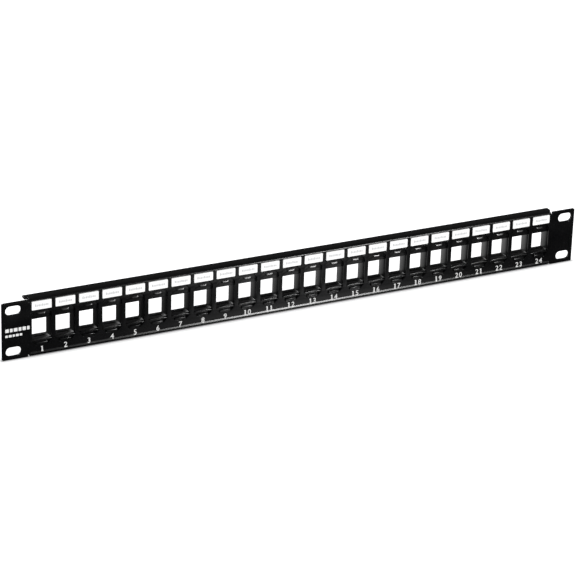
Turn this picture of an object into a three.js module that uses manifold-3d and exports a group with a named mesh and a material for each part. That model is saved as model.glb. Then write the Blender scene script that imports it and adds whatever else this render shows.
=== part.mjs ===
// 24-port blank keystone patch panel, 19-inch rack, one rack unit high.
//
// Millimetres.  X runs along the panel (left to right seen from the front),
// Y runs into the rack, Z is up.  Each piece is drawn with y = 0 on the
// mounting plane, the rear face of the sheet that lands on the rack posts, and
// is then moved by ORIGIN_Y to centre the overall box on the origin.

import * as THREE from 'three';
import { mergeVertices } from 'three/addons/utils/BufferGeometryUtils.js';
import Module from 'manifold-3d';

const wasm = await Module();
wasm.setup();

// ---------------------------------------------------------------- dimensions
// Suffixes: _X half width, _Y0 front, _Y1 rear, _Z0 bottom, _Z1 top.

// sheet-steel panel
const PANEL_X = 482.6 / 2;      // 19 inches over the ears
const PANEL_Z = 44.1 / 2;       // half height: one rack unit less clearance
const SHEET = 1.5;              // sheet thickness; front face at y = -SHEET
const EAR_CORNER = 1.0;         // corner radius of the ears
const BEND_R = 2.0;             // outer radius of the top bend
const FLANGE_Y1 = 8.5;          // rear edge of both flanges
const BEND_X = 219.9;           // half length of the bends
const FLANGE_X = 221.9;         // half length of the flanges clear of the reliefs
const FLANGE_WIDE_Y = 3.5;      // where the flanges widen
const RELIEF_X = 221.4;         // outer side of the bend reliefs
const RELIEF_Z = 19.9;          // inner end of the bend reliefs
const FOOT_Y = -2.2;            // nose of the bead along the foot of the face

// Bead section from the flange round to the face: [y, height above the foot]
const BEAD_OUTSIDE = [
  [0.4, 0], [-0.55, 0.08], [-1.25, 0.35], [-1.8, 0.8], [-2.12, 1.3],
  [FOOT_Y, 1.8], [-2.1, 2.15], [-SHEET, 3.15],
];
// and from the rear of the face back to the flange, same columns
const BEAD_INSIDE = [
  [0, 2.75], [-0.55, 2.05], [-0.6, 1.8], [-0.42, 1.57], [0.05, SHEET],
];

// rack slots
const SLOT_X = 465.1 / 2;       // centre, from the spacing of the columns
const SLOT_Z = 31.75 / 2;       // centre, from the spacing of the rows
const SLOT_LENGTH = 12.0;
const SLOT_R = 3.4;

// ports
const PORTS = 24;
const PITCH = 18.32;
const APERTURE_X = 7.6;         // port aperture in the sheet
const APERTURE_Z0 = -14.0;
const APERTURE_Z1 = 12.3;
const APERTURE_BOTTOM_X = 4.3;
const APERTURE_TOP_X = 4.85;    // also the neck up to the label window
const SHOULDER_Z0 = -10.8;      // ends of the aperture's straight sides
const SHOULDER_Z1 = 10.0;
const WINDOW_X = 7.9;           // label window above the port
const WINDOW_Z0 = 12.9;
const WINDOW_Z1 = 20.6;
const GAP = 0.2;                // play between moulded parts and sheet
const SIDE_GAP = 0.1;           // reduced play at the aperture's sloped corners

// keystone receptacle
const TUNNEL_X = 7.3;
const TUNNEL_Z0 = -9.46;
const TUNNEL_Z1 = 6.3;
const FRAME_X = 8.9;
const FRAME_Z = 20.3;           // half height: it stands between the flanges
const FRAME_Y0 = 0.1;           // just clear of the rear of the sheet
const FRAME_Y1 = FLANGE_Y1;     // rear of its tunnel, flush with the flanges
const FRAME_CHAMFER = 0.9;
const BASE_Y1 = 2.0;            // rear of its base plate
const BOX_Z0 = -13.4;
const BOX_Z1 = 11.2;

// moulded face of the receptacle, in the aperture
const FACE_Y0 = -1.3;           // front of the sill and rib
const FACE_Y1 = 1.0;
const FACE_Z0 = -14.6;          // trimmed by the plug outline
const FACE_Z1 = WINDOW_Z0 - GAP;
const STEP_Y = -0.2;            // step below the sill
const STEP_Z = -11.9;
const RAMP_X = 4.2;
const RAMP_Y0 = -1.2;
const RAMP_Z = -13.3;           // foot of the slope
const LINTEL_Y0 = -0.1;
const BUMP_X = 2.7;
const BUMP_Y1 = 0.5;
const BUMP_Z = 9.95;            // centre height
const BUMP_R = 0.95;

// pockets inside the tunnel
const POCKET_Y0 = 3.0;
const LATCH_X = 5.6;
const LATCH_Z1 = 9.7;
const GROOVE_X = 4.6;
const GROOVE_Y1 = 5.2;
const GROOVE_Z0 = -11.4;

// label tile
const TILE_X = WINDOW_X - GAP;
const TILE_Z0 = WINDOW_Z0 + GAP;
const TILE_Z1 = WINDOW_Z1 - GAP;
const TILE_Y0 = -1.6;
const TILE_Y1 = -0.1;
const TILE_CORNER = 0.5;
const LEG_X = 5.2;              // centre of each snap leg
const LEG_WIDTH = 2.4;
const LEG_THICKNESS = 1.1;
const LEG_Z = (TILE_Z0 + TILE_Z1) / 2;
const LEG_Y1 = 2.5;
const LEG_CLEARANCE = 0.3;      // on every side, in the receptacle's holes

const EXTRA = 0.5;              // overlap of joined solids and overrun of cutters
const SHEET_CUT_Y = 4.0;        // reach of the sheet cutters; windows graze the top flange

// overall depth runs from the foot bead to the rear of the receptacles
const ORIGIN_Y = -(FOOT_Y + FRAME_Y1) / 2;

const QUARTER = Math.PI / 2;
const SIDES = [-1, 1];

// ------------------------------------------------------------------ outlines
function arc(centreX, centreY, radius, start, end, steps) {
  const points = [];
  for (let i = 0; i <= steps; i++) {
    const angle = start + (end - start) * i / steps;
    points.push([centreX + radius * Math.cos(angle), centreY + radius * Math.sin(angle)]);
  }
  return points;
}

// closes a right-hand half outline, listed bottom to top, with its mirror image
function mirrored(rightHalf) {
  return [...rightHalf, ...rightHalf.map(([x, z]) => [-x, z]).reverse()];
}

function shifted(outline, dx, dz) {
  return outline.map(([x, z]) => [x + dx, z + dz]);
}

// the two rounded right-hand corners of a rectangle, bottom to top
function rightCorners(x, z0, z1, radius, steps) {
  return [
    ...arc(x - radius, z0 + radius, radius, -QUARTER, 0, steps),
    ...arc(x - radius, z1 - radius, radius, 0, QUARTER, steps),
  ];
}

// -------------------------------------------------------------------- solids
function toSolid(geometry) {
  geometry.deleteAttribute('normal');
  geometry.deleteAttribute('uv');
  const merged = mergeVertices(geometry, 1e-4);
  return new wasm.Manifold(new wasm.Mesh({
    numProp: 3,
    vertProperties: new Float32Array(merged.attributes.position.array),
    triVerts: new Uint32Array(merged.index.array),
  }));
}

function toGeometry(solid) {
  const mesh = solid.getMesh();
  const geometry = new THREE.BufferGeometry();
  const positions = new Float32Array(mesh.vertProperties);
  geometry.setAttribute('position', new THREE.BufferAttribute(positions, 3));
  geometry.setIndex(new THREE.BufferAttribute(new Uint32Array(mesh.triVerts), 1));
  const flat = geometry.toNonIndexed();
  flat.computeVertexNormals();
  return flat;
}

const UNIT_X = new THREE.Vector3(1, 0, 0);
const UNIT_Y = new THREE.Vector3(0, 1, 0);
const UNIT_Z = new THREE.Vector3(0, 0, 1);

function extrude(outline, depth, placement) {
  const shape = new THREE.Shape(outline.map(([x, y]) => new THREE.Vector2(x, y)));
  const geometry = new THREE.ExtrudeGeometry(shape, { depth, bevelEnabled: false, steps: 1 });
  return toSolid(geometry.applyMatrix4(placement));
}

// outline in X and Z, extruded forward from y1 to y0
function prismY(outline, y0, y1) {
  const placement = new THREE.Matrix4().makeBasis(UNIT_X, UNIT_Z, UNIT_Y.clone().negate());
  return extrude(outline, y1 - y0, placement.setPosition(0, y1, 0));
}

// outline in Y and Z, extruded over halfWidth each side of x = 0
function prismX(outline, halfWidth) {
  const placement = new THREE.Matrix4().makeBasis(UNIT_Y, UNIT_Z, UNIT_X);
  return extrude(outline, 2 * halfWidth, placement.setPosition(-halfWidth, 0, 0));
}

function block([x0, x1], [y0, y1], [z0, z1]) {
  const geometry = new THREE.BoxGeometry(x1 - x0, y1 - y0, z1 - z0);
  geometry.translate((x0 + x1) / 2, (y0 + y1) / 2, (z0 + z1) / 2);
  return toSolid(geometry);
}

function joinAll(solids) {
  return solids.reduce((joined, solid) => joined.add(solid));
}

// -------------------------------------------------------- sheet-steel panel
// Channel section in Y and Z: front web, top bend, foot bead and two flanges.
function channelProfile() {
  const bendY = BEND_R - SHEET;
  const bendZ = PANEL_Z - BEND_R;
  return [
    ...arc(bendY, bendZ, BEND_R, 2 * QUARTER, QUARTER, 5),
    [FLANGE_Y1, PANEL_Z], [FLANGE_Y1, PANEL_Z - SHEET],
    ...arc(bendY, bendZ, BEND_R - SHEET, QUARTER, 2 * QUARTER, 3),
    ...shifted(BEAD_INSIDE, 0, -PANEL_Z),
    [FLANGE_Y1, -PANEL_Z + SHEET], [FLANGE_Y1, -PANEL_Z],
    ...shifted(BEAD_OUTSIDE, 0, -PANEL_Z),
  ];
}

// Both ears, joined by the web between the bend reliefs.
function earOutline() {
  return mirrored([
    [RELIEF_X, -RELIEF_Z], [RELIEF_X, -PANEL_Z],
    ...rightCorners(PANEL_X, -PANEL_Z, PANEL_Z, EAR_CORNER, 3),
    [RELIEF_X, PANEL_Z], [RELIEF_X, RELIEF_Z],
  ]);
}

// Port aperture: a long octagon joined by a short neck to the label window.
function apertureOutline() {
  return mirrored([
    [APERTURE_BOTTOM_X, APERTURE_Z0],
    [APERTURE_X, SHOULDER_Z0], [APERTURE_X, SHOULDER_Z1],
    [APERTURE_TOP_X, APERTURE_Z1], [APERTURE_TOP_X, WINDOW_Z0],
    [WINDOW_X, WINDOW_Z0], [WINDOW_X, WINDOW_Z1],
  ]);
}

function slotOutline() {
  return mirrored(arc(SLOT_LENGTH / 2 - SLOT_R, 0, SLOT_R, -QUARTER, QUARTER, 10));
}

function frontPanel(portCentres) {
  const flange = (z0) => block(
    [-FLANGE_X, FLANGE_X], [FLANGE_WIDE_Y, FLANGE_Y1], [z0, z0 + SHEET]);
  const sheet = joinAll([
    prismX(channelProfile(), BEND_X),
    prismY(earOutline(), -SHEET, 0),
    flange(PANEL_Z - SHEET),
    flange(-PANEL_Z),
  ]);

  const openings = portCentres.map((x) => shifted(apertureOutline(), x, 0));
  for (const sideX of SIDES) {
    for (const sideZ of SIDES) {
      openings.push(shifted(slotOutline(), sideX * SLOT_X, sideZ * SLOT_Z));
    }
  }
  const cutters = openings.map((outline) => prismY(outline, -SHEET_CUT_Y, SHEET_CUT_Y));
  return sheet.subtract(joinAll(cutters));
}

// ---------------------------------------------------------------- snap legs
// Both legs of a label tile, or with clearance the holes that take them.
function snapLegs(y0, y1, clearance = 0) {
  const halfX = LEG_WIDTH / 2 + clearance;
  const halfZ = LEG_THICKNESS / 2 + clearance;
  return joinAll(SIDES.map((side) => block(
    [side * LEG_X - halfX, side * LEG_X + halfX], [y0, y1], [LEG_Z - halfZ, LEG_Z + halfZ])));
}

// ------------------------------------------------------ keystone receptacle
// Outline of the moulded face: the octagon and neck of the aperture, less play.
function plugOutline() {
  return mirrored([
    [APERTURE_BOTTOM_X - SIDE_GAP, APERTURE_Z0 + GAP],
    [APERTURE_X - GAP, SHOULDER_Z0 + SIDE_GAP],
    [APERTURE_X - GAP, SHOULDER_Z1 - SIDE_GAP],
    [APERTURE_TOP_X - GAP, APERTURE_Z1 - GAP],
    [APERTURE_TOP_X - GAP, FACE_Z1],
  ]);
}

// Moulded face that fills the aperture above and below the jack opening.
function receptacleFace() {
  const sill = prismX([
    [FACE_Y1, FACE_Z0], [FACE_Y1, TUNNEL_Z0], [0.5, TUNNEL_Z0],
    [FACE_Y0, -10.9], [FACE_Y0, -11.25], [STEP_Y, STEP_Z], [STEP_Y, FACE_Z0],
  ], TUNNEL_X);
  const fingerRamp = prismX([
    [FACE_Y1, FACE_Z0], [FACE_Y1, STEP_Z], [STEP_Y, STEP_Z],
    [RAMP_Y0, RAMP_Z], [RAMP_Y0, FACE_Z0],
  ], RAMP_X);
  const lintel = prismX([
    [FACE_Y1, TUNNEL_Z1], [FACE_Y1, FACE_Z1], [LINTEL_Y0, FACE_Z1],
    [LINTEL_Y0, TUNNEL_Z1 + 0.5], [0.3, TUNNEL_Z1],
  ], TUNNEL_X);
  const bump = prismX([
    [BUMP_Y1, BUMP_Z - BUMP_R],
    ...arc(LINTEL_Y0, BUMP_Z, BUMP_R, 3 * QUARTER, QUARTER, 6),
    [BUMP_Y1, BUMP_Z + BUMP_R],
  ], BUMP_X);
  const ribX = APERTURE_TOP_X - GAP;
  const rib = block([-ribX, ribX], [FACE_Y0, FACE_Y1], [APERTURE_Z1 - GAP, FACE_Z1]);
  const plug = prismY(plugOutline(), -SHEET, FACE_Y1);
  return joinAll([sill, fingerRamp, lintel, bump, rib]).intersect(plug);
}

function receptacle() {
  // base plate between the flanges, its long front edges chamfered
  const base = prismX([
    [FRAME_Y0, -FRAME_Z + FRAME_CHAMFER], [FRAME_Y0 + FRAME_CHAMFER, -FRAME_Z],
    [BASE_Y1, -FRAME_Z], [BASE_Y1, FRAME_Z],
    [FRAME_Y0 + FRAME_CHAMFER, FRAME_Z], [FRAME_Y0, FRAME_Z - FRAME_CHAMFER],
  ], FRAME_X);
  const box = block([-FRAME_X, FRAME_X], [BASE_Y1 - EXTRA, FRAME_Y1], [BOX_Z0, BOX_Z1]);

  const rearCut = FRAME_Y1 + EXTRA;
  const jackOpening = block(
    [-TUNNEL_X, TUNNEL_X], [FACE_Y0 - EXTRA, rearCut], [TUNNEL_Z0, TUNNEL_Z1]);
  const latchRoom = block(
    [-LATCH_X, LATCH_X], [POCKET_Y0, rearCut], [TUNNEL_Z1 - EXTRA, LATCH_Z1]);
  const hookGroove = block(
    [-GROOVE_X, GROOVE_X], [POCKET_Y0, GROOVE_Y1], [GROOVE_Z0, TUNNEL_Z0 + EXTRA]);
  const legHoles = snapLegs(FRAME_Y0 - EXTRA, BASE_Y1 + EXTRA, LEG_CLEARANCE);
  return joinAll([base, box, receptacleFace()])
    .subtract(joinAll([jackOpening, latchRoom, hookGroove, legHoles]));
}

// --------------------------------------------------------------- label tile
function labelTile() {
  const outline = mirrored(rightCorners(TILE_X, TILE_Z0, TILE_Z1, TILE_CORNER, 2));
  return prismY(outline, TILE_Y0, TILE_Y1).add(snapLegs(TILE_Y1 - EXTRA, LEG_Y1));
}

// ----------------------------------------------------------------- assembly
const PANEL_FINISH = { color: 0x15161a, roughness: 0.5, metalness: 0.15 };
const RECEPTACLE_FINISH = { color: 0x0d0e11, roughness: 0.35, metalness: 0.0 };
const TILE_FINISH = { color: 0xf4f4f2, roughness: 0.55, metalness: 0.0 };

const group = new THREE.Group();

// every mesh owns its geometry and material
function addMesh(name, geometry, finish, x = 0) {
  const mesh = new THREE.Mesh(geometry.clone(), new THREE.MeshStandardMaterial(finish));
  mesh.name = name;
  mesh.position.set(x, ORIGIN_Y, 0);
  group.add(mesh);
}

const portCentres = Array.from({ length: PORTS }, (_, i) => (i - (PORTS - 1) / 2) * PITCH);
const receptacleGeometry = toGeometry(receptacle());
const tileGeometry = toGeometry(labelTile());

addMesh('front_panel', toGeometry(frontPanel(portCentres)), PANEL_FINISH);
portCentres.forEach((x, i) => {
  const id = String(i + 1).padStart(2, '0');
  addMesh(`keystone_frame_${id}`, receptacleGeometry, RECEPTACLE_FINISH, x);
  addMesh(`label_tile_${id}`, tileGeometry, TILE_FINISH, x);
});

export default group;
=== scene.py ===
# A 24-port keystone patch panel: a folded, powder-coated steel face with a rack
# ear at each end, 24 black moulded receptacles, 24 white label tiles, and print.
# Shapes are drawn in millimetres: x to the right seen from the front, z up,
# y = 0 on the mounting plane and the front facing -y.  Each mesh is then moved to
# the CAD model's mounting plane and scaled to metres.
import math

import bmesh
import bpy
import numpy as np
from mathutils import Matrix, Vector


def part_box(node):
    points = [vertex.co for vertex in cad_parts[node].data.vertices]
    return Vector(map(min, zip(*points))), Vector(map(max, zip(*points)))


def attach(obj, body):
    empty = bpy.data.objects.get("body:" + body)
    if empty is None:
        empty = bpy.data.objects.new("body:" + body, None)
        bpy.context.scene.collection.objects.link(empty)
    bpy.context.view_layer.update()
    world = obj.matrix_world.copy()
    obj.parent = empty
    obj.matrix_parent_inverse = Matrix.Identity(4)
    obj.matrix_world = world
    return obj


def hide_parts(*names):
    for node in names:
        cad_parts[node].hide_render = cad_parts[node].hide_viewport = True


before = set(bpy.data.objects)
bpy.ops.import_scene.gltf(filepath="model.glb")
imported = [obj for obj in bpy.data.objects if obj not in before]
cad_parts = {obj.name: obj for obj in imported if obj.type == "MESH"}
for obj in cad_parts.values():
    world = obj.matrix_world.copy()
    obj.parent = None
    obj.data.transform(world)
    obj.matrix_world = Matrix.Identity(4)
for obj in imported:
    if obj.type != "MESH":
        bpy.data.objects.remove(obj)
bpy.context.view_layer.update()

MM = 0.001
PORTS = 24
QUARTER = math.pi / 2

# ------------------------------------------------------- driving dimensions
SHEET = 1.5                 # thickness of the steel
TILE_Y = -1.6               # front of the label tiles

panel_lo, panel_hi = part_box("front_panel")
tile_lo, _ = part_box("label_tile_01")
Y_SHIFT = tile_lo.y / MM - TILE_Y
HALF_W = (panel_hi.x - panel_lo.x) / MM / 2
HALF_H = (panel_hi.z - panel_lo.z) / MM / 2
FLANGE_DEPTH = panel_hi.y / MM - Y_SHIFT


def port_x(number):
    lo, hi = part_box("keystone_frame_%02d" % number)
    return (lo.x + hi.x) / 2 / MM


PORT_X = [port_x(number) for number in range(1, PORTS + 1)]

# Folded panel
FOOT_BEND_R = 2.0           # outer radii of the lower and upper bends
HEAD_BEND_R = 2.9
FLANGE_X = 219.9            # half width of the bends
FLANGE_WIDE_X = 221.9       # half width of the flanges behind the bends
FLANGE_WIDE_Y = 3.5         # where the flanges widen
HEAD_RELIEF_X = 220.7       # outer sides of the notches beside the bends
FOOT_RELIEF_X = 221.4
RELIEF_Z = 19.9             # inner ends of the notches
EAR_R = 1.2
RACK_SLOT_X, RACK_SLOT_Z = 232.55, 15.875
RACK_SLOT_HALF, RACK_SLOT_R = 6.0, 3.4

# Right half of a port's aperture, from the foot up: x, z, corner radius
APERTURE = [(4.3, -14.0, 1.0), (7.6, -10.8, 1.2), (7.6, 10.0, 1.2), (4.85, 12.3, 0.15),
            (4.85, 12.9, 0.15), (7.9, 12.9, 0.5), (7.9, 20.6, 0.5)]

# The outer skin swells into a bead at the foot of the face: flat distance s
# from mid-height, and how far the skin stands proud of the plain folded sheet
BEAD = [(-23.2, 0.00), (-22.6, 0.12), (-22.0, 0.34), (-21.4, 0.57), (-20.9, 0.72), (-20.4, 0.82),
        (-20.1, 0.82), (-19.9, 0.76), (-18.82, 0.05), (-18.7, 0.01), (-18.58, 0.00)]
BEAD_S, BEAD_PROUD = zip(*BEAD)
BEAD_EXTRA_CUTS = [-18.9, -19.0, -19.2, -19.4, -19.6, -19.8, -20.25, -20.65, -21.1, -21.7]
OUTER_SKIN = 0.6            # depth within which the sheet follows the bead

# Receptacle
BODY_X = 8.9
PLATE_Y0, PLATE_Y1, PLATE_Z, PLATE_CHAMFER = 0.1, 2.0, 20.3, 0.9
TUNNEL_X, TUNNEL_Z0, TUNNEL_Z1 = 7.3, -9.46, 5.95
BODY_BACK = 8.5
NOSE_Y = -1.3               # foremost point of the sill and the rib
INNER_Y = 1.0               # back of the parts that fill the aperture
SILL_FOOT = -14.3
RIB_X, RIB_Z0, RIB_Z1 = 4.65, 12.1, 12.7
# Right half of the outline that fits in the aperture: x, z, corner radius
PLUG = [(4.2, -13.8, 0.9), (7.4, -10.7, 1.0), (7.4, 9.9, 1.0), (RIB_X, RIB_Z0, 0.1),
        (RIB_X, RIB_Z1, 0.1)]
CATCH_X, CATCH_Y = 3.25, -0.1
# Catch front: forward reach at full height, z
CATCH = [(0.62, 8.92), (0.86, 9.12), (0.92, 9.36), (0.84, 9.60), (0.12, 10.60)]

# Label tile
TILE_X, TILE_Z0, TILE_Z1, TILE_THICK = 7.6, 13.4, 19.95, 1.5
LEG_X, LEG_HALF_X = 5.2, 1.2
# Leg from the side: y, z
LEG = [(-0.6, 16.2), (1.7, 16.2), (1.85, 16.05), (2.5, 16.45), (2.5, 17.05), (1.85, 17.45),
       (1.7, 17.3), (-0.6, 17.3)]
LEG_SOCKET_Z = 16.75
LEG_SOCKET_HALF_X, LEG_SOCKET_HALF_Z = 1.5, 0.85

# Print
FIGURE_TALL, FIGURE_PITCH, FIGURE_FOOT = 4.0, 3.45, -19.35
FIGURE_HALF_Y = 0.02
EAR_MARK_X = -238.8
# Rows of bars on the left ear: z from, z to, gap, widths
EAR_MARKS = [(-0.55, 2.15, 0.82, (2.7, 2.1, 2.9, 2.2, 2.6, 2.0)),
             (-4.4, -2.6, 0.68, (1.9, 2.3, 1.7, 2.4, 1.9))]


# ----------------------------------------------------------------- outlines
def arc(cx, cy, radius, start, end, steps):
    angles = [start + (end - start) * i / steps for i in range(steps + 1)]
    return [(cx + radius * math.cos(a), cy + radius * math.sin(a)) for a in angles]


def round_corner(before, corner, after, radius, steps):
    """The points of the fillet at one corner."""
    corner = np.array(corner, float)
    back, ahead = np.array(before, float) - corner, np.array(after, float) - corner
    back_len, ahead_len = np.linalg.norm(back), np.linalg.norm(ahead)
    back, ahead = back / back_len, ahead / ahead_len
    angle = math.acos(float(np.clip(back @ ahead, -1, 1)))
    run = min(radius / math.tan(angle / 2), back_len * 0.48, ahead_len * 0.48)
    radius = run * math.tan(angle / 2)
    middle = (back + ahead) / np.linalg.norm(back + ahead)
    centre = corner + middle * (radius / math.sin(angle / 2))
    first, last = corner + back * run, corner + ahead * run
    start = math.atan2(first[1] - centre[1], first[0] - centre[0])
    end = math.atan2(last[1] - centre[1], last[0] - centre[0])
    turn = (end - start + math.pi) % (2 * math.pi) - math.pi
    return arc(float(centre[0]), float(centre[1]), radius, start, start + turn, steps)


def fillet(rows, steps):
    """A closed outline with rounded corners, from rows of x, z, radius."""
    points = [row[:2] for row in rows]
    out = []
    for i, (x, z, radius) in enumerate(rows):
        out += round_corner(points[i - 1], (x, z), points[(i + 1) % len(rows)], radius, steps)
    return out


def rect(x0, x1, z0, z1):
    return [(x0, z0), (x1, z0), (x1, z1), (x0, z1)]


def round_rect(x0, x1, z0, z1, radius, steps):
    return fillet([(x, z, radius) for x, z in rect(x0, x1, z0, z1)], steps)


def symmetric(half):
    """A closed outline from its right half, starting at the left foot."""
    left = [(-x, z, radius) for x, z, radius in reversed(half)]
    return left[-1:] + half + left[:-1]


def inset(points, distance):
    """Moves a closed outline to the left of its direction, with mitred corners."""
    here = np.array(points, float)
    dir_in = here - np.roll(here, 1, 0)
    dir_out = np.roll(here, -1, 0) - here
    dir_in /= np.linalg.norm(dir_in, axis=1)[:, None]
    dir_out /= np.linalg.norm(dir_out, axis=1)[:, None]
    normal_in = np.stack([-dir_in[:, 1], dir_in[:, 0]], 1)
    normal_out = np.stack([-dir_out[:, 1], dir_out[:, 0]], 1)
    stretch = np.maximum(1 + (normal_in * normal_out).sum(1), 0.25)[:, None]
    return (here + (normal_in + normal_out) / stretch * distance).tolist()


# ------------------------------------------------------------------- meshes
def outward(bm):
    """Consistent normals, pointing out of the solid."""
    bmesh.ops.recalc_face_normals(bm, faces=bm.faces[:])
    if bm.calc_volume(signed=True) < 0:
        bmesh.ops.reverse_faces(bm, faces=bm.faces[:])


def to_mesh(bm, name):
    mesh = bpy.data.meshes.new(name)
    bm.to_mesh(mesh)
    bm.free()
    return mesh


def add_rings(bm, rows):
    return [[bm.verts.new(point) for point in row] for row in rows]


def join_rings(bm, rings):
    for ring, following in zip(rings, rings[1:]):
        for i in range(len(ring)):
            j = (i + 1) % len(ring)
            bm.faces.new((ring[i], ring[j], following[j], following[i]))


def loft(bm, rows):
    """Adds a closed solid through rows of points."""
    rings = add_rings(bm, rows)
    join_rings(bm, rings)
    bm.faces.new(rings[0][::-1])
    bm.faces.new(rings[-1])


def extrude(bm, outline, lo, hi, axis="y"):
    """Adds a prism along axis; its outline is in y, z for x and in x, z for y."""
    if axis == "x":
        loft(bm, [[(v, a, b) for a, b in outline] for v in (lo, hi)])
    else:
        loft(bm, [[(a, v, b) for a, b in outline] for v in (lo, hi)])


def prism(outline, lo, hi, axis="y"):
    bm = bmesh.new()
    extrude(bm, outline, lo, hi, axis)
    outward(bm)
    return to_mesh(bm, "prism")


def brick(x0, x1, y0, y1, z0, z1):
    return prism(rect(x0, x1, z0, z1), y0, y1)


def sheet_bmesh(loops, thick, front_edge, back_edge, steps=3):
    """A flat closed sheet from outlines (outer counter-clockwise, holes clockwise).
    x and s lie in its plane and t goes down into it; its edges are rounded."""
    bm = bmesh.new()
    fronts, backs = [], []
    turns = [QUARTER * k / steps for k in range(steps + 1)]
    rows = [(front_edge * (1 - math.sin(q)), front_edge * (1 - math.cos(q))) for q in turns]
    rows += [(back_edge * (1 - math.cos(q)), thick - back_edge * (1 - math.sin(q)))
             for q in turns]
    for loop in loops:
        rings = []
        for offset, t in rows:
            points = inset(loop, offset) if offset > 1e-9 else loop
            rings.append([bm.verts.new((x, s, t)) for x, s in points])
        for ring, following in zip(rings, rings[1:]):
            for i in range(len(loop)):
                j = (i + 1) % len(loop)
                bm.faces.new((ring[i], following[i], following[j], ring[j]))
        fronts.append(rings[0])
        backs.append(rings[-1])
    for rings, normal_t in ((fronts, -1), (backs, 1)):
        edges = [bm.edges.get((ring[i], ring[(i + 1) % len(ring)]))
                 for ring in rings for i in range(len(ring))]
        bmesh.ops.triangle_fill(bm, use_beauty=True, use_dissolve=False, edges=edges,
                                normal=(0, 0, normal_t))
    outward(bm)
    return bm


def cut_lines(bm, values, axis, keep=None):
    """Cuts the mesh along planes, so that it can bend there."""
    for value in values:
        faces = [f for f in bm.faces if keep is None or keep(f)]
        geom = set(faces)
        for f in faces:
            geom.update(f.edges)
            geom.update(f.verts)
        point = [0.0, 0.0, 0.0]
        normal = [0.0, 0.0, 0.0]
        point[axis] = value
        normal[axis] = 1.0
        bmesh.ops.bisect_plane(bm, geom=list(geom), dist=1e-6, plane_co=point, plane_no=normal)


def add_object(name, data):
    ob = bpy.data.objects.new(name, data)
    bpy.context.scene.collection.objects.link(ob)
    return ob


def evaluated_mesh(ob):
    bpy.context.view_layer.update()
    depsgraph = bpy.context.evaluated_depsgraph_get()
    return bpy.data.meshes.new_from_object(ob.evaluated_get(depsgraph))


def boolean(base, others, operation):
    """base joined with or cut by the other meshes, as a new mesh."""
    ob = add_object("bool_base", base)
    tools = []
    for mesh in others:
        tool = add_object("bool_tool", mesh)
        modifier = ob.modifiers.new("b", "BOOLEAN")
        modifier.operation = operation
        modifier.solver = "EXACT"
        modifier.object = tool
        tools.append(tool)
    out = evaluated_mesh(ob)
    for temporary in [ob] + tools:
        bpy.data.objects.remove(temporary)
    return out


def clean(mesh):
    """Merges coincident points and dissolves flat edges."""
    bm = bmesh.new()
    bm.from_mesh(mesh)
    bmesh.ops.remove_doubles(bm, verts=bm.verts[:], dist=0.0005)
    bmesh.ops.dissolve_limit(bm, angle_limit=math.radians(0.5), verts=bm.verts[:],
                             edges=bm.edges[:])
    bm.to_mesh(mesh)
    bm.free()
    return mesh


def bevelled(mesh, width, segments, limit):
    ob = add_object("bevel_base", mesh)
    modifier = ob.modifiers.new("bevel", "BEVEL")
    modifier.width = width
    modifier.segments = segments
    modifier.limit_method = "ANGLE"
    modifier.angle_limit = math.radians(limit)
    modifier.use_clamp_overlap = True
    modifier.miter_outer = "MITER_SHARP"
    out = evaluated_mesh(ob)
    bpy.data.objects.remove(ob)
    return out


def shade(mesh, angle):
    """Smooth shading, with edges sharper than angle kept sharp."""
    mesh.polygons.foreach_set("use_smooth", [True] * len(mesh.polygons))
    mesh.update()
    mesh.set_sharp_from_angle(angle=math.radians(angle))


def set_material(mesh, material):
    mesh.materials.clear()
    mesh.materials.append(material)


def to_metres(mesh):
    mesh.transform(Matrix.Diagonal((MM, MM, MM, 1)) @ Matrix.Translation((0, Y_SHIFT, 0)))


def finished_object(name, bm, material, angle):
    """An object from one millimetre bmesh, shaded and scaled."""
    mesh = to_mesh(bm, name)
    set_material(mesh, material)
    shade(mesh, angle)
    to_metres(mesh)
    return add_object(name, mesh)


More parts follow.
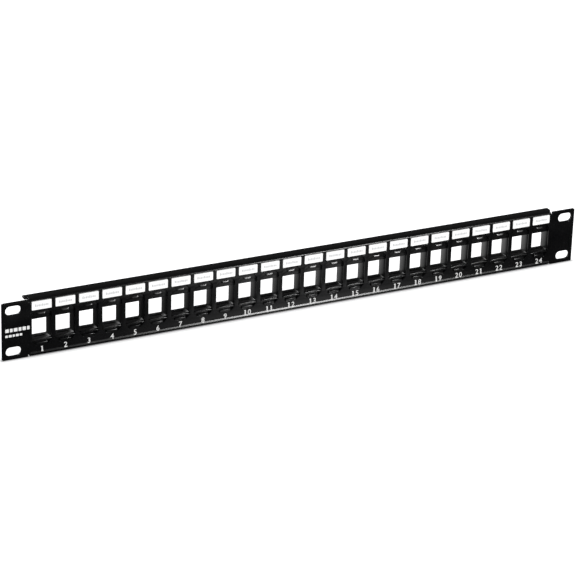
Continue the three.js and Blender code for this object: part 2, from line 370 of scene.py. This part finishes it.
# ---------------------------------------------------------------- materials
class Nodes:
    """Adds linked nodes to one shader tree; inputs may be sockets or values."""

    def __init__(self, tree):
        self.tree = tree

    def new(self, kind):
        return self.tree.nodes.new("ShaderNode" + kind)

    def feed(self, value, socket):
        if isinstance(value, bpy.types.NodeSocket):
            self.tree.links.new(value, socket)
        else:
            socket.default_value = (*value, 1) if isinstance(value, tuple) else value

    def math(self, operation, *values):
        node = self.new("Math")
        node.operation = operation
        for value, socket in zip(values, node.inputs):
            self.feed(value, socket)
        return node.outputs[0]

    def add(self, a, b):
        return self.math("ADD", a, b)

    def sub(self, a, b):
        return self.math("SUBTRACT", a, b)

    def mul(self, a, b):
        return self.math("MULTIPLY", a, b)

    def exp(self, power):
        return self.math("POWER", 2.718, power)

    def xyz(self, vector):
        node = self.new("SeparateXYZ")
        self.feed(vector, node.inputs[0])
        return node.outputs

    def noise(self, coords, scale, detail, rough, seed=None):
        node = self.new("TexNoise")
        node.inputs["Scale"].default_value = scale
        node.inputs["Detail"].default_value = detail
        node.inputs["Roughness"].default_value = rough
        if seed is not None:
            node.noise_dimensions = "4D"
            self.feed(seed, node.inputs["W"])
        self.feed(coords, node.inputs["Vector"])
        return node.outputs["Fac"]

    def ramp(self, value, span, to=(0.0, 1.0)):
        """Maps span onto to, clamped."""
        node = self.new("MapRange")
        node.clamp = True
        for name, number in zip(("From Min", "From Max", "To Min", "To Max"), span + to):
            node.inputs[name].default_value = number
        self.feed(value, node.inputs["Value"])
        return node.outputs["Result"]

    def mix_value(self, factor, a, b):
        node = self.new("Mix")
        for socket, value in ((0, factor), (2, a), (3, b)):
            self.feed(value, node.inputs[socket])
        return node.outputs[0]

    def mix_colour(self, factor, a, b):
        node = self.new("Mix")
        node.data_type = "RGBA"
        for socket, value in ((0, factor), (6, a), (7, b)):
            self.feed(value, node.inputs[socket])
        return node.outputs[2]

    def bump(self, height, strength, distance, after=None):
        node = self.new("Bump")
        node.inputs["Strength"].default_value = strength
        node.inputs["Distance"].default_value = distance
        self.feed(height, node.inputs["Height"])
        if after is not None:
            self.feed(after, node.inputs["Normal"])
        return node.outputs["Normal"]

    def edge_mask(self, radius):
        """1 on edges, 0 on flats, from how far a rounded normal turns from the true one."""
        bevel = self.new("Bevel")
        bevel.samples = 6
        bevel.inputs["Radius"].default_value = radius
        dot = self.new("VectorMath")
        dot.operation = "DOT_PRODUCT"
        self.feed(bevel.outputs["Normal"], dot.inputs[0])
        self.feed(self.new("NewGeometry").outputs["Normal"], dot.inputs[1])
        return self.ramp(dot.outputs["Value"], span=(0.995, 0.86))


class Material(Nodes):
    def __init__(self, name):
        self.material = bpy.data.materials.new(name)
        self.material.use_nodes = True
        super().__init__(self.material.node_tree)
        self.principled = self.tree.nodes["Principled BSDF"]

    def set(self, name, value):
        self.feed(value, self.principled.inputs[name])

    def object_coords(self):
        return self.new("TexCoord").outputs["Object"]

    def object_random(self):
        """A random number per object, plain and spread out as a noise seed."""
        random = self.new("ObjectInfo").outputs["Random"]
        return random, self.mul(random, 37.0)


# Both blacks drift between two tones and pale at the edges: the powder coat with patchy wear,
# the plastic with a painted edge sheen
BLACK_LOW = (0.0018, 0.0018, 0.0021)
BLACK_HIGH = (0.0034, 0.0034, 0.0038)
BLACK_EDGE = (0.016, 0.016, 0.018)


def powder_coat():
    mat = Material("black_powder_coat")
    coords = mat.object_coords()
    patch = mat.noise(coords, scale=55.0, detail=4.0, rough=0.6)
    grain = mat.noise(coords, scale=1500.0, detail=2.0, rough=0.5)
    peel = mat.noise(coords, scale=520.0, detail=3.0, rough=0.6)
    specks = mat.noise(coords, scale=900.0, detail=1.0, rough=0.4)
    base = mat.mix_colour(mat.ramp(patch, span=(0.3, 0.7)), BLACK_LOW, BLACK_HIGH)
    dust = mat.mul(mat.ramp(specks, span=(0.69, 0.76)),
                   mat.ramp(patch, span=(0.45, 0.65), to=(0.0, 0.7)))
    dust_colour = (0.020, 0.020, 0.022)
    base = mat.mix_colour(dust, base, dust_colour)

    # edges are paler in patches, and a little glossier
    edge_tint, edge_gloss = 0.55, 0.04
    wear = mat.edge_mask(radius=0.00035)
    scuffs = mat.noise(coords, scale=160.0, detail=4.0, rough=0.7)
    patchy = mat.mul(wear, mat.ramp(scuffs, span=(0.42, 0.7), to=(0.15, 1.0)))
    mat.set("Base Color", mat.mix_colour(mat.mul(patchy, edge_tint), base, BLACK_EDGE))
    rough = mat.add(mat.ramp(peel, span=(0.25, 0.75), to=(0.21, 0.26)),
                    mat.ramp(patch, span=(0.3, 0.7), to=(-0.015, 0.015)))
    mat.set("Roughness", mat.sub(rough, mat.mul(wear, edge_gloss)))

    # slightly stronger reflection along the top
    height = mat.xyz(coords)["Z"]
    mat.set("Specular IOR Level", mat.ramp(height, span=(0.0180, 0.0200), to=(0.37, 0.42)))
    normal = mat.bump(peel, strength=0.07, distance=0.00008)
    mat.set("Normal", mat.bump(grain, strength=0.16, distance=0.00003, after=normal))
    return mat.material


def moulded():
    mat = Material("black_moulded_plastic")
    coords = mat.object_coords()
    random, seed = mat.object_random()
    cloud = mat.noise(coords, scale=120.0, detail=3.0, rough=0.6, seed=seed)
    grain = mat.noise(coords, scale=2200.0, detail=2.0, rough=0.5, seed=seed)
    base = mat.mix_colour(mat.ramp(cloud, span=(0.3, 0.7)), BLACK_LOW, BLACK_HIGH)
    # painted sheen: the plastic's edges are lightened in colour all round
    edge_tint = 0.35
    edge = mat.mul(mat.edge_mask(radius=0.0003), edge_tint)
    mat.set("Base Color", mat.mix_colour(edge, base, BLACK_EDGE))

    # how much roughness and reflection differ from one receptacle to the next
    rough_spread, specular_spread, specular_mean = 0.08, 0.30, 0.55
    vary = mat.sub(random, 0.5)
    rough = mat.add(mat.ramp(cloud, span=(0.25, 0.75), to=(0.24, 0.30)),
                    mat.mul(vary, rough_spread))

    # side walls: eroded lead-in at the front, polished further back
    lead_rough, lead_dull = 0.16, 0.60
    facing = mat.xyz(mat.new("NewGeometry").outputs["True Normal"])["X"]
    side = mat.ramp(mat.math("ABSOLUTE", facing), span=(0.8, 0.95))
    fore = mat.ramp(mat.xyz(coords)["Y"], span=((Y_SHIFT + 0.6) * MM, (Y_SHIFT + 3.0) * MM),
                    to=(1.0, 0.0))
    lead = mat.mul(side, fore)
    mat.set("Roughness", mat.add(rough, mat.mul(lead, lead_rough)))
    specular = mat.add(specular_mean, mat.mul(vary, specular_spread))
    mat.set("Specular IOR Level",
            mat.mul(specular, mat.sub(1.0, mat.mul(lead, lead_dull))))
    mat.set("Normal", mat.bump(grain, strength=0.16, distance=0.00004))
    return mat.material


def white_tile():
    mat = Material("white_label_tile")
    coords = mat.object_coords()
    _, seed = mat.object_random()
    fibre = mat.noise(coords, scale=1300.0, detail=4.0, rough=0.65, seed=seed)
    tone = mat.noise(coords, scale=150.0, detail=3.0, rough=0.6, seed=seed)
    tone_low, tone_high = (0.86, 0.86, 0.85), (0.92, 0.92, 0.915)
    fibre_colour = (0.76, 0.76, 0.745)
    base = mat.mix_colour(mat.ramp(tone, span=(0.3, 0.7)), tone_low, tone_high)
    threads = mat.ramp(fibre, span=(0.62, 0.78), to=(0.0, 0.35))
    mat.set("Base Color", mat.mix_colour(threads, base, fibre_colour))
    mat.set("Roughness", mat.ramp(fibre, span=(0.3, 0.7), to=(0.42, 0.58)))
    mat.set("Normal", mat.bump(fibre, strength=0.12, distance=0.00004))
    return mat.material


def ink(name, colour, speck):
    mat = Material(name)
    grain = mat.noise(mat.object_coords(), scale=3200.0, detail=2.0, rough=0.6)
    specks = mat.ramp(grain, span=(0.60, 0.74), to=(0.0, 0.5))
    mat.set("Base Color", mat.mix_colour(specks, colour, speck))
    mat.set("Roughness", mat.ramp(grain, span=(0.3, 0.7), to=(0.5, 0.66)))
    mat.set("Normal", mat.bump(grain, strength=0.15, distance=0.00002))
    return mat.material


POWDER = powder_coat()
PLASTIC = moulded()
WHITE = white_tile()
INK = ink("white_screen_print", colour=(0.70, 0.70, 0.69), speck=(0.54, 0.54, 0.53))
GREY_INK = ink("pale_grey_print", colour=(0.57, 0.57, 0.575), speck=(0.68, 0.68, 0.685))


# ---------------------------------------------------------------- the panel
def fold(radius):
    """Flat distances: the bend's start, its length, the wide part's start, the end."""
    start, turn = HALF_H - radius, radius * QUARTER
    flat = start + turn - (radius - SHEET)
    return start, turn, flat + FLANGE_WIDE_Y, flat + FLANGE_DEPTH


HEAD_FOLD = fold(HEAD_BEND_R)
FOOT_FOLD = fold(FOOT_BEND_R)


def path_corner(x, z, radius, back, ahead):
    """A rounded corner; back and ahead point along the path either way."""
    reach = radius * 3
    return round_corner((x + back[0] * reach, z + back[1] * reach), (x, z),
                        (x + ahead[0] * reach, z + ahead[1] * reach), radius, 3)


def flange_side(relief_x, wide_start, flange_end):
    """Right-hand path from the ear's edge through the notch and up the flat flange."""
    notch_r = (relief_x - FLANGE_X) / 2
    notch_x = (relief_x + FLANGE_X) / 2
    return (path_corner(relief_x, HALF_H, 0.3, (1, 0), (0, -1))
            + arc(notch_x, RELIEF_Z + notch_r, notch_r, 0, -2 * QUARTER, 8)
            + path_corner(FLANGE_X, wide_start, 0.3, (0, -1), (1, 0))
            + path_corner(FLANGE_WIDE_X, wide_start, 0.4, (-1, 0), (0, 1))
            + path_corner(FLANGE_WIDE_X, flange_end, 0.6, (0, -1), (-1, 0)))


def panel_outline():
    """The unfolded sheet, counter-clockwise from the right ear's lower corner.
    The flanges widen beyond the bends."""
    x, z = HALF_W - EAR_R, HALF_H - EAR_R
    upper = (arc(x, -z, EAR_R, 3 * QUARTER, 4 * QUARTER, 5) + arc(x, z, EAR_R, 0, QUARTER, 5)
             + flange_side(HEAD_RELIEF_X, *HEAD_FOLD[2:]))
    lower = [(x, -z) for x, z in reversed(flange_side(FOOT_RELIEF_X, *FOOT_FOLD[2:]))]
    points = upper
    points = points + [(-x, z) for x, z in reversed(upper)]
    points = points + [(-x, z) for x, z in reversed(lower)] + lower
    # leave out points that fall on the one before
    return [p for i, p in enumerate(points) if math.dist(points[i - 1], p) > 1e-4]


def rack_slot(x, z):
    half = RACK_SLOT_HALF - RACK_SLOT_R
    return (arc(x + half, z, RACK_SLOT_R, -QUARTER, QUARTER, 14)
            + arc(x - half, z, RACK_SLOT_R, QUARTER, 3 * QUARTER, 14))


def bead_at(s):
    return float(np.interp(s, BEAD_S, BEAD_PROUD))


def folded_point(x, s, t):
    """Where a point of the flat sheet lies once it is folded."""
    y, z = -SHEET + t, s
    if not (abs(x) < FLANGE_X + 0.2 or abs(s) > HALF_H + 0.01):
        return x, y, z
    proud = bead_at(s) if t < OUTER_SKIN else 0.0
    normal_y, normal_z = -1.0, 0.0
    sign, radius, (start, turn, _, _) = ((1, HEAD_BEND_R, HEAD_FOLD) if s > 0
                                         else (-1, FOOT_BEND_R, FOOT_FOLD))
    run = abs(s) - start
    if run > 0:
        if run < turn:
            angle = run / radius
            normal_y, normal_z = -math.cos(angle), sign * math.sin(angle)
            y = (radius - SHEET) - (radius - t) * math.cos(angle)
            z = sign * (start + (radius - t) * math.sin(angle))
        else:
            normal_y, normal_z = 0.0, sign
            y = (radius - SHEET) + (run - turn)
            z = sign * (HALF_H - t)
    return x, y + normal_y * proud, max(z + normal_z * proud, -HALF_H)


def build_panel():
    loops = [panel_outline()]
    aperture = fillet(symmetric(APERTURE), 4)
    for port in PORT_X:
        loops.append([(x + port, z) for x, z in aperture][::-1])
    for side in (-1, 1):
        for level in (-1, 1):
            loops.append(rack_slot(side * RACK_SLOT_X, level * RACK_SLOT_Z)[::-1])
    bm = sheet_bmesh(loops, SHEET, front_edge=0.22, back_edge=0.12)

    def between_ears(face):
        centre = face.calc_center_median()
        return abs(centre.x) < FLANGE_X + 0.2 or abs(centre.y) > HALF_H + 0.02

    head_start, head_turn = HEAD_FOLD[:2]
    foot_start, foot_turn = FOOT_FOLD[:2]
    bends = [head_start + head_turn * k / 12 for k in range(13)]
    bends += [-foot_start - foot_turn * k / 10 for k in range(11)]
    cut_lines(bm, bends, 1, between_ears)
    cut_lines(bm, sorted(set(BEAD_S) | set(BEAD_EXTRA_CUTS)), 1, between_ears)
    for vert in bm.verts:
        vert.co = folded_point(*vert.co)
    outward(bm)
    ob = finished_object("folded_panel", bm, POWDER, angle=40)
    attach(ob, "panel")
    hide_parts("front_panel")


# ------------------------------------------------------ keystone receptacle
def nose(cy, cz, radius, start, end, steps):
    """A forward-facing arc in y, z; angles in degrees above straight ahead."""
    angles = [math.radians(start + (end - start) * i / steps) for i in range(steps + 1)]
    return [(cy - radius * math.cos(a), cz + radius * math.sin(a)) for a in angles]


def sill_mesh():
    """The sill below the opening, with a round lip bowed up in its middle."""
    columns = 10
    rows = []
    for i in range(columns + 1):
        x = -TUNNEL_X + 2 * TUNNEL_X * i / columns
        bow = 1 - (x / TUNNEL_X) ** 2
        profile = ([(INNER_Y, SILL_FOOT), (INNER_Y, TUNNEL_Z0), (0.7, TUNNEL_Z0),
                    (0.45, TUNNEL_Z0 - 0.08)]
                   + nose(NOSE_Y + 0.7, -10.69 + 0.46 * bow, 0.7, 72, -24, 7)
                   + [(0.25, -11.55), (0.25, SILL_FOOT)])
        rows.append([(x, y, z) for y, z in profile])
    bm = bmesh.new()
    loft(bm, rows)
    outward(bm)
    return to_mesh(bm, "sill")


def catch_mesh():
    """Latch catch: a wedge whose sloping top runs out at the ends."""
    stations = 18
    rows = []
    for i in range(stations + 1):
        x = -CATCH_X + 2 * CATCH_X * i / stations
        height = max(0.04, (1 - abs(x / 3.28) ** 5) ** 0.5)
        profile = ([(0.6, 8.8), (0.0, 8.8)]
                   + [(CATCH_Y - reach * height, z) for reach, z in CATCH]
                   + [(0.0, 10.75), (0.6, 10.75)])
        rows.append([(x, y, z) for y, z in profile])
    bm = bmesh.new()
    rings = add_rings(bm, rows)
    bm.faces.new(rings[0][::-1])
    join_rings(bm, rings)
    bm.faces.new(rings[-1])
    outward(bm)
    return to_mesh(bm, "pad")


def face_mesh():
    """The parts that show in the aperture, trimmed to its shape."""
    foot = prism([(INNER_Y, SILL_FOOT), (INNER_Y, -11.95), (0.2, -11.95)]
                 + nose(NOSE_Y + 0.7, -13.0, 0.62, 70, 0, 6)
                 + [(NOSE_Y + 0.08, SILL_FOOT)], -4.2, 4.2, "x")
    lintel = prism([(INNER_Y, TUNNEL_Z1), (INNER_Y, RIB_Z1), (-0.1, RIB_Z1),
                    (-0.1, TUNNEL_Z1 + 0.7), (0.05, TUNNEL_Z1 + 0.25), (0.3, TUNNEL_Z1)],
                   -TUNNEL_X, TUNNEL_X, "x")
    rib = prism(round_rect(-RIB_X, RIB_X, RIB_Z0, RIB_Z1, 0.12, 2), NOSE_Y, INNER_Y)
    face = boolean(sill_mesh(), [foot, lintel, rib], "UNION")
    plug = prism(fillet(symmetric(PLUG), 3), -1.45, INNER_Y)
    return boolean(face, [plug], "INTERSECT")


def receptacle_mesh():
    shoulder_y, shoulder_z = PLATE_Y0 + PLATE_CHAMFER, PLATE_Z - PLATE_CHAMFER
    plate = prism([(PLATE_Y0, -shoulder_z), (shoulder_y, -PLATE_Z), (PLATE_Y1, -PLATE_Z),
                   (PLATE_Y1, PLATE_Z), (shoulder_y, PLATE_Z), (PLATE_Y0, shoulder_z)],
                  -BODY_X, BODY_X, "x")
    box = prism(round_rect(-BODY_X, BODY_X, -13.4, 11.2, 0.8, 3), 1.4, BODY_BACK)
    body = clean(boolean(plate, [box], "UNION"))
    body = boolean(body, [face_mesh(), catch_mesh()], "UNION")
    cuts = [
        # the tunnel, then a pocket above it and one below it
        prism(round_rect(-TUNNEL_X, TUNNEL_X, TUNNEL_Z0, TUNNEL_Z1, 0.5, 3), -3.0, 10.0),
        brick(-5.6, 5.6, 3.0, 10.0, TUNNEL_Z1 - 0.6, 9.7),
        brick(-4.6, 4.6, 3.0, 5.2, -11.4, TUNNEL_Z0 + 0.6),
    ]
    for side in (-1, 1):
        x = side * LEG_X
        cuts.append(brick(x - LEG_SOCKET_HALF_X, x + LEG_SOCKET_HALF_X, -1, 3,
                          LEG_SOCKET_Z - LEG_SOCKET_HALF_Z, LEG_SOCKET_Z + LEG_SOCKET_HALF_Z))
    body = clean(boolean(body, cuts, "DIFFERENCE"))
    return bevelled(body, width=0.14, segments=2, limit=28.0)


def build_receptacles():
    mesh = receptacle_mesh()
    mesh.name = "keystone_receptacle"
    to_metres(mesh)
    set_material(mesh, PLASTIC)
    shade(mesh, 40)
    for number, x in enumerate(PORT_X, 1):
        ob = add_object("receptacle_%02d" % number, mesh)
        ob.location = (x * MM, 0, 0)
        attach(ob, "panel")
        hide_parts("keystone_frame_%02d" % number)


# -------------------------------------------------------------- label tiles
def tile_mesh():
    """A rounded tile with two barbed legs behind it."""
    outline = round_rect(-TILE_X, TILE_X, TILE_Z0, TILE_Z1, 0.55, 5)
    bm = sheet_bmesh([outline], TILE_THICK, front_edge=0.16, back_edge=0.05)
    for vert in bm.verts:
        x, z, t = vert.co
        vert.co = (x, TILE_Y + t, z)
    outward(bm)
    legs = [prism(LEG, side * LEG_X - LEG_HALF_X, side * LEG_X + LEG_HALF_X, "x")
            for side in (-1, 1)]
    return boolean(to_mesh(bm, "tile"), legs, "UNION")


def tile_print_mesh():
    """Pale grey blocks across the tile, standing for writing."""
    bm = bmesh.new()
    x, foot, gap = -5.3, 15.8, 0.28
    for k, width in enumerate((1.15, 0.95, 1.25, 0.85, 1.15, 1.0, 1.2, 0.9)):
        tall = 1.95 if k in (0, 4) else 1.6
        extrude(bm, round_rect(x, x + width, foot, foot + tall, 0.15, 2),
                TILE_Y - 0.025, TILE_Y + 0.02)
        x += width + gap
    outward(bm)
    return to_mesh(bm, "tile_print")


def build_tiles():
    tile = tile_mesh()
    to_metres(tile)
    set_material(tile, WHITE)
    shade(tile, 40)
    blocks = tile_print_mesh()
    to_metres(blocks)
    set_material(blocks, GREY_INK)
    for number, x in enumerate(PORT_X, 1):
        body = "label_%02d" % number
        ob = add_object("tile_%02d" % number, tile)
        ob.location = (x * MM, 0, 0)
        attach(ob, body)
        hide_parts("label_tile_%02d" % number)
        ob = add_object("tile_print_%02d" % number, blocks)
        ob.location = (x * MM, 0, 0)
        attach(ob, body)


# -------------------------------------------------------------------- print
def draw_one(bm):
    """A figure 1 with a short foot, which the font's lacks."""
    top = FIGURE_TALL
    outline = [(-0.66, 0), (0.84, 0), (0.84, 0.42), (0.42, 0.42), (0.42, top), (-0.30, top),
               (-0.86, top - 0.26), (-0.86, top - 0.86), (-0.24, top - 0.66), (-0.24, 0.42),
               (-0.66, 0.42)]
    extrude(bm, outline, -FIGURE_HALF_Y, FIGURE_HALF_Y)
    bmesh.ops.triangulate(bm, faces=bm.faces[:])


def draw_from_font(bm, char):
    curve = bpy.data.curves.new("num", "FONT")
    curve.body = char
    curve.align_x = "CENTER"
    curve.size = 5.4
    curve.offset = 0.045
    curve.extrude = FIGURE_HALF_Y
    curve.resolution_u = 4
    ob = add_object("num", curve)
    mesh = evaluated_mesh(ob)
    bpy.data.objects.remove(ob)
    points = np.array([v.co for v in mesh.vertices], float)
    lo, hi = points.min(0), points.max(0)
    scale = FIGURE_TALL / (hi[1] - lo[1])
    bm.from_mesh(mesh)
    for vert in bm.verts:
        x, y, z = vert.co
        vert.co = ((x - (lo[0] + hi[0]) / 2) * scale, -z, (y - lo[1]) * scale)
    bmesh.ops.remove_doubles(bm, verts=bm.verts[:], dist=0.002)


def figure_mesh(char):
    """One figure, its foot on z = 0 and placed about x = 0."""
    bm = bmesh.new()
    if char == "1":
        draw_one(bm)
    else:
        draw_from_font(bm, char)
    # cuts near the foot, where the figure follows the bead
    cut_lines(bm, [0.05 + 0.10 * i for i in range(8)], 2)
    outward(bm)
    return to_mesh(bm, "figure_" + char)


def build_port_numbers():
    """White port numbers under the ports."""
    bm = bmesh.new()
    figures = {char: figure_mesh(char) for char in "0123456789"}
    for number, x in enumerate(PORT_X, 1):
        text = str(number)
        for k, char in enumerate(text):
            at = x + (k - (len(text) - 1) / 2) * FIGURE_PITCH
            start = len(bm.verts)
            bm.from_mesh(figures[char])
            bm.verts.ensure_lookup_table()
            for vert in bm.verts[start:]:
                z = vert.co.z + FIGURE_FOOT
                y = vert.co.y - SHEET - FIGURE_HALF_Y - bead_at(z)
                vert.co = (vert.co.x + at, y, z)
    ob = finished_object("port_numbers", bm, INK, angle=30)
    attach(ob, "panel")


def build_ear_marks():
    bm = bmesh.new()
    for z0, z1, gap, widths in EAR_MARKS:
        x = EAR_MARK_X
        for width in widths:
            extrude(bm, round_rect(x, x + width, z0, z1, 0.25, 2), -SHEET - 0.04, -SHEET)
            x += width + gap
    outward(bm)
    ob = finished_object("ear_marks", bm, INK, angle=30)
    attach(ob, "panel")


build_panel()
build_receptacles()
build_tiles()
build_port_numbers()
build_ear_marks()

# -------------------------------------------------------------------- stage
# Lengths and places on the stage are in metres.
FLOOR_Z = -HALF_H * MM - 0.00005
FLOOR_WHITE = 0.90
FLOOR_LIFT = 0.60                       # the floor's own glow
# the contact shade is a painted shadow in the floor's colour, glow and reflections
CONTACT_REACH = 0.0022                  # how fast the contact shade fades
CONTACT_DARK, CONTACT_GLOSS_DARK = 0.66, 0.97
# painted light in the floor's reflections: a pool in front, and a dark band in it
POOL_CENTRE, POOL_WIDTH = 0.012, 0.115  # pool of light in front, along x
POOL_MIN, POOL_GAIN = 0.025, 0.72       # its floor level and added strength
BAND_LEVEL, BAND_DROP = 1.15, 0.95      # level outside its dark band, and the dip in it


def floor_material():
    mat = Material("floor_white")
    where = mat.xyz(mat.new("NewGeometry").outputs["Position"])
    x, y = where["X"], where["Y"]

    # painted contact shadow: the floor's colour and glow darken within a few millimetres of the
    # foot of the panel
    front = -SHEET * MM + Y_SHIFT * MM
    beyond_y = mat.math("MAXIMUM", mat.sub(front, y), mat.sub(y, front + SHEET * MM))
    beyond_y = mat.math("MAXIMUM", beyond_y, 0.0)
    beyond_x = mat.math("MAXIMUM", mat.sub(mat.math("ABSOLUTE", x), HALF_W * MM), 0.0)
    distance = mat.math("SQRT", mat.add(mat.mul(beyond_x, beyond_x),
                                        mat.mul(beyond_y, beyond_y)))
    contact = mat.exp(mat.mul(distance, -1 / CONTACT_REACH))
    white = mat.sub(1.0, mat.mul(contact, CONTACT_DARK))

    # a painted pool of light, seen only in reflections of the floor: brighter in front of the
    # middle, with a darker band further out
    across = mat.math("DIVIDE", mat.sub(x, POOL_CENTRE), POOL_WIDTH)
    pool = mat.exp(mat.mul(mat.mul(across, across), -1.0))
    ahead = mat.add(POOL_MIN, mat.mul(pool, POOL_GAIN))
    run = mat.sub(front, y)
    band = mat.mul(mat.ramp(run, span=(0.028, 0.040)),
                   mat.ramp(run, span=(0.060, 0.072), to=(1.0, 0.0)))
    ahead = mat.mul(ahead, mat.sub(BAND_LEVEL, mat.mul(band, BAND_DROP)))
    # painted reflection behind the panel: dark on the left, bright on the right
    behind = mat.ramp(x, span=(-0.15, 0.12), to=(0.05, 0.88))
    seen = mat.mix_value(mat.ramp(y, span=(0.0, 0.012)), ahead, behind)
    # the painted contact shadow dims these reflections too
    gloss = mat.mul(seen, mat.sub(1.0, mat.mul(contact, CONTACT_GLOSS_DARK)))

    # the floor's colour and glow carry the painted contact shadow
    colour = mat.new("CombineColor")
    for channel in range(3):
        mat.feed(mat.mul(white, FLOOR_WHITE), colour.inputs[channel])
    mat.set("Base Color", colour.outputs[0])
    mat.set("Roughness", 0.9)
    mat.set("Specular IOR Level", 0.0)
    mat.set("Emission Color", (1, 1, 1))
    mat.set("Emission Strength", mat.mul(white, FLOOR_LIFT))
    emission = mat.new("Emission")
    mat.feed(gloss, emission.inputs["Strength"])
    choice = mat.new("MixShader")
    mat.feed(mat.new("LightPath").outputs["Is Glossy Ray"], choice.inputs[0])
    mat.feed(mat.principled.outputs["BSDF"], choice.inputs[1])
    mat.feed(emission.outputs[0], choice.inputs[2])
    mat.feed(choice.outputs[0], mat.tree.nodes["Material Output"].inputs["Surface"])
    return mat.material


def build_floor():
    bm = bmesh.new()
    bmesh.ops.create_grid(bm, x_segments=8, y_segments=8, size=8.0)
    mesh = to_mesh(bm, "floor")
    set_material(mesh, floor_material())
    ob = add_object("floor", mesh)
    ob.location = (0, 0, FLOOR_Z)


def build_world():
    """A white world: bright to the camera, dim in reflections."""
    camera_level, diffuse_level, glossy_level = 1.05, 0.88, 0.05
    world = bpy.data.worlds.new("studio")
    bpy.context.scene.world = world
    world.use_nodes = True
    nodes = Nodes(world.node_tree)
    background = world.node_tree.nodes["Background"]
    background.inputs["Color"].default_value = (0.99, 0.995, 1.0, 1)
    ray = nodes.new("LightPath").outputs
    level = nodes.mix_value(ray["Is Glossy Ray"], diffuse_level, glossy_level)
    level = nodes.mix_value(ray["Is Camera Ray"], level, camera_level)
    nodes.feed(level, background.inputs["Strength"])


def area(name, direction, distance, size, energy, glossy=True, diffuse=True):
    """A rectangular light aimed at the origin from direction."""
    direction = Vector(direction).normalized()
    light = bpy.data.lights.new(name, "AREA")
    light.shape = "RECTANGLE"
    light.size, light.size_y = size
    light.energy = energy
    ob = add_object(name, light)
    ob.location = direction * distance
    ob.rotation_mode = "QUATERNION"
    ob.rotation_quaternion = direction.to_track_quat("Z", "Y")
    ob.visible_glossy = glossy
    ob.visible_diffuse = diffuse


build_floor()
build_world()
area("key", direction=(0.472, -0.626, 0.620), distance=0.737, size=(0.23, 0.11), energy=3.9,
     diffuse=False)
area("rear", direction=(-0.50, 0.62, 0.75), distance=0.90, size=(0.50, 0.50), energy=6.0,
     diffuse=False)
area("fill", direction=(0.30, -0.75, 0.60), distance=1.6, size=(1.2, 1.2), energy=5.0,
     glossy=False)

# ------------------------------------------------------------------- camera
# Angles in degrees; the target on the mounting plane and the distance in mm
AZIMUTH, DOWNWARD, ROLL = 28.1954, 22.6025, 1.8000
TARGET = (-11.672, 0, -3.744)
DISTANCE = 2001.40
SENSOR, LENS = 36.0, 167.35993


def build_camera():
    azimuth, downward, roll = (math.radians(v) for v in (AZIMUTH, DOWNWARD, ROLL))
    forward = Vector((math.sin(azimuth) * math.cos(downward),
                      math.cos(azimuth) * math.cos(downward), -math.sin(downward)))
    level = Vector((math.cos(azimuth), -math.sin(azimuth), 0))
    upright = level.cross(forward)
    right = math.cos(roll) * level + math.sin(roll) * upright
    up = -math.sin(roll) * level + math.cos(roll) * upright
    camera = bpy.data.cameras.new("camera")
    camera.sensor_width = SENSOR
    camera.lens = LENS
    camera.clip_start, camera.clip_end = 0.05, 50.0
    ob = add_object("camera", camera)
    placed = Matrix((right, up, -forward)).transposed().to_4x4()
    placed.translation = (Vector(TARGET) - forward * DISTANCE + Vector((0, Y_SHIFT, 0))) * MM
    ob.matrix_world = placed
    bpy.context.scene.camera = ob


build_camera()

view = bpy.context.scene.view_settings
view.view_transform = "Standard"
view.look = "None"
view.exposure = 0.0
view.gamma = 1.0
